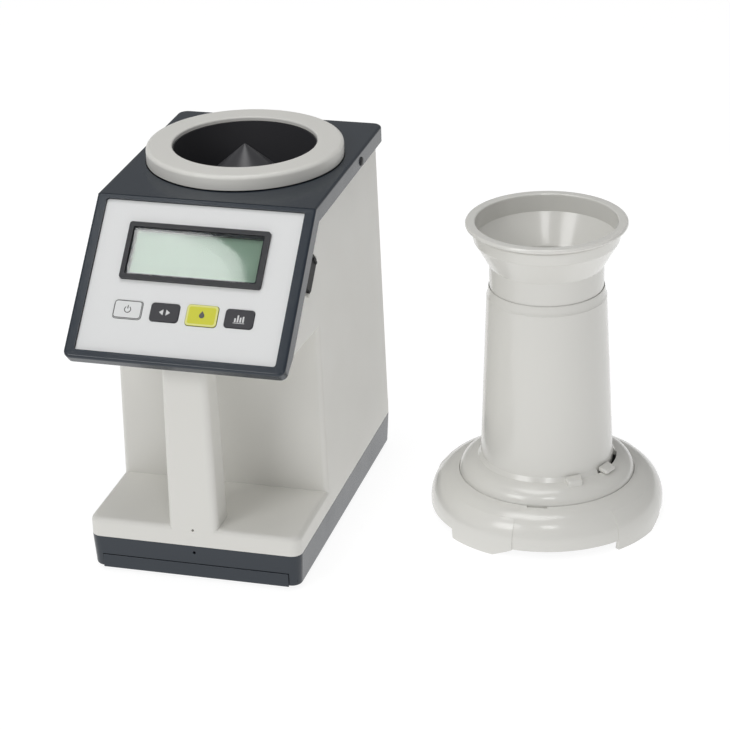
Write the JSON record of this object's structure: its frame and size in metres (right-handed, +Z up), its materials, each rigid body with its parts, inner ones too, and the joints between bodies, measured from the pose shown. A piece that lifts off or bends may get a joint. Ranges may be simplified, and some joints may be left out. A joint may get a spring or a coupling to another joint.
{
  "type": "grain moisture meter",
  "caption": "Bench grain moisture meter with sloping display panel, free-standing grip pillar and round weighing cell, and a separate flared sample loader with funnel and shutter.",
  "frame": {"origin": "centre of the floor area that the meter and its loader cover together, on the table", "axes": "+X to the meter's right, +Y to its back, +Z up; the panel faces -Y"},
  "size_m": [0.3025, 0.2127, 0.216],
  "materials": {
    "case_ivory": "satin moulded, warm light grey",
    "slate": "satin moulded, dark blue grey",
    "loader_ivory": "semi-gloss moulded, warm light grey",
    "black_plastic": "satin",
    "rubber": "matt",
    "electrode": "dark anodised, smooth",
    "steel": "brushed",
    "aluminium": "machined",
    "circuit_board": "lacquered",
    "wire": "matt",
    "cable_grey": "matt",
    "cell_wrap": "printed wrap",
    "sheet_pale": "fine satin film",
    "bezel_black": "semi-gloss",
    "lcd_lens": "clear",
    "lcd_glass": "grey-green display",
    "key_white": "satin film",
    "key_dark": "satin film",
    "key_yellow": "satin film"
  },
  "bodies": {
    "meter": {"base_pan": "slate", "rubber_feet": "rubber", "base_screws": "steel", "battery_box": "black_plastic", "battery_cells": "cell_wrap", "battery_contacts": "steel", "body_shell": "case_ivory", "chassis": "black_plastic", "load_cell": "aluminium", "load_cell_screws": "steel", "main_board": "circuit_board", "main_board_screws": "steel", "power_lead": "wire", "ribbon_cable": "cable_grey", "top_cover": "slate", "cover_screws": "black_plastic", "front_sheet": "sheet_pale", "lcd_bezel": "bezel_black", "lcd_window": "lcd_lens", "lcd_module": "lcd_glass", "display_board": "circuit_board", "board_screws": "steel", "key_switches": "black_plastic", "socket_block": "black_plastic"},
    "battery_door": {"battery_door": "slate"},
    "port_flap": {"port_flap": "rubber"},
    "weigh_cell": {"cell_ring": "case_ivory", "cell_wall": "electrode", "cell_floor": "black_plastic", "centre_electrode": "electrode", "cell_carrier": "aluminium"},
    "key_on_off": {"key_on_off": "key_white"},
    "key_select": {"key_select": "key_dark"},
    "key_measure": {"key_measure": "key_yellow"},
    "key_average": {"key_average": "key_dark"},
    "loader": {"loader_skirt": "loader_ivory", "loader_body": "loader_ivory", "loader_cup": "loader_ivory", "loader_plate": "slate", "loader_screws": "steel", "blade_pins": "steel", "lever_spring": "steel"},
    "shutter_lever": {"lever_ring": "loader_ivory"},
    "blade_left": {"blade_left": "steel"},
    "blade_right": {"blade_right": "steel"},
    "funnel": {"funnel": "loader_ivory"}
  },
  "joints": [
    {"name": "key_on_off_press", "type": "slide", "parent": "meter", "child": "key_on_off", "axis": [0, 0.7071, -0.7071], "range_m": [0, 0.0004], "stiffness_N_per_m": 800, "springref_m": -0.0015},
    {"name": "key_select_press", "type": "slide", "parent": "meter", "child": "key_select", "axis": [0, 0.7071, -0.7071], "range_m": [0, 0.0004], "stiffness_N_per_m": 800, "springref_m": -0.0015},
    {"name": "key_measure_press", "type": "slide", "parent": "meter", "child": "key_measure", "axis": [0, 0.7071, -0.7071], "range_m": [0, 0.0004], "stiffness_N_per_m": 800, "springref_m": -0.0015},
    {"name": "key_average_press", "type": "slide", "parent": "meter", "child": "key_average", "axis": [0, 0.7071, -0.7071], "range_m": [0, 0.0004], "stiffness_N_per_m": 800, "springref_m": -0.0015},
    {"name": "cell_weigh", "type": "slide", "parent": "meter", "child": "weigh_cell", "axis": [0, 0, -1], "range_m": [0, 0.0004], "stiffness_N_per_m": 20000, "springref_m": -0.0004},
    {"name": "battery_door_slide", "type": "slide", "parent": "meter", "child": "battery_door", "axis": [0, -1, 0], "range_m": [0, 0.05]},
    {"name": "port_flap_hinge", "type": "hinge", "parent": "meter", "child": "port_flap", "pos_m": [-0.02745, -0.04647, 0.17058], "axis": [0, 0.7071, 0.7071], "range_deg": [0, 100], "stiffness_Nm_per_rad": 0.001, "springref_deg": -17.19},
    {"name": "loader_lift", "type": "slide", "parent": "meter", "child": "loader", "axis": [0, 0, 1], "range_m": [0, 0.22]},
    {"name": "funnel_lift", "type": "slide", "parent": "loader", "child": "funnel", "axis": [0, 0, 1], "range_m": [0, 0.04]},
    {"name": "shutter_turn", "type": "hinge", "parent": "loader", "child": "shutter_lever", "pos_m": [0.08385, 0.03895, 0.018], "axis": [0, 0, 1], "range_deg": [0, 18], "stiffness_Nm_per_rad": 0.08, "springref_deg": -20.05},
    {"name": "blade_left_turn", "type": "hinge", "parent": "loader", "child": "blade_left", "pos_m": [0.1096, 0.08355, 0.0154], "axis": [0, 0, 1], "range_deg": [-29.7, 0]},
    {"name": "blade_right_turn", "type": "hinge", "parent": "loader", "child": "blade_right", "pos_m": [0.0581, -0.00565, 0.0154], "axis": [0, 0, 1], "range_deg": [-29.7, 0]}
  ],
  "couplings": [
    {"joint": "blade_left_turn", "follows": "shutter_turn", "ratio": -1.65},
    {"joint": "blade_right_turn", "follows": "shutter_turn", "ratio": -1.65}
  ]
}
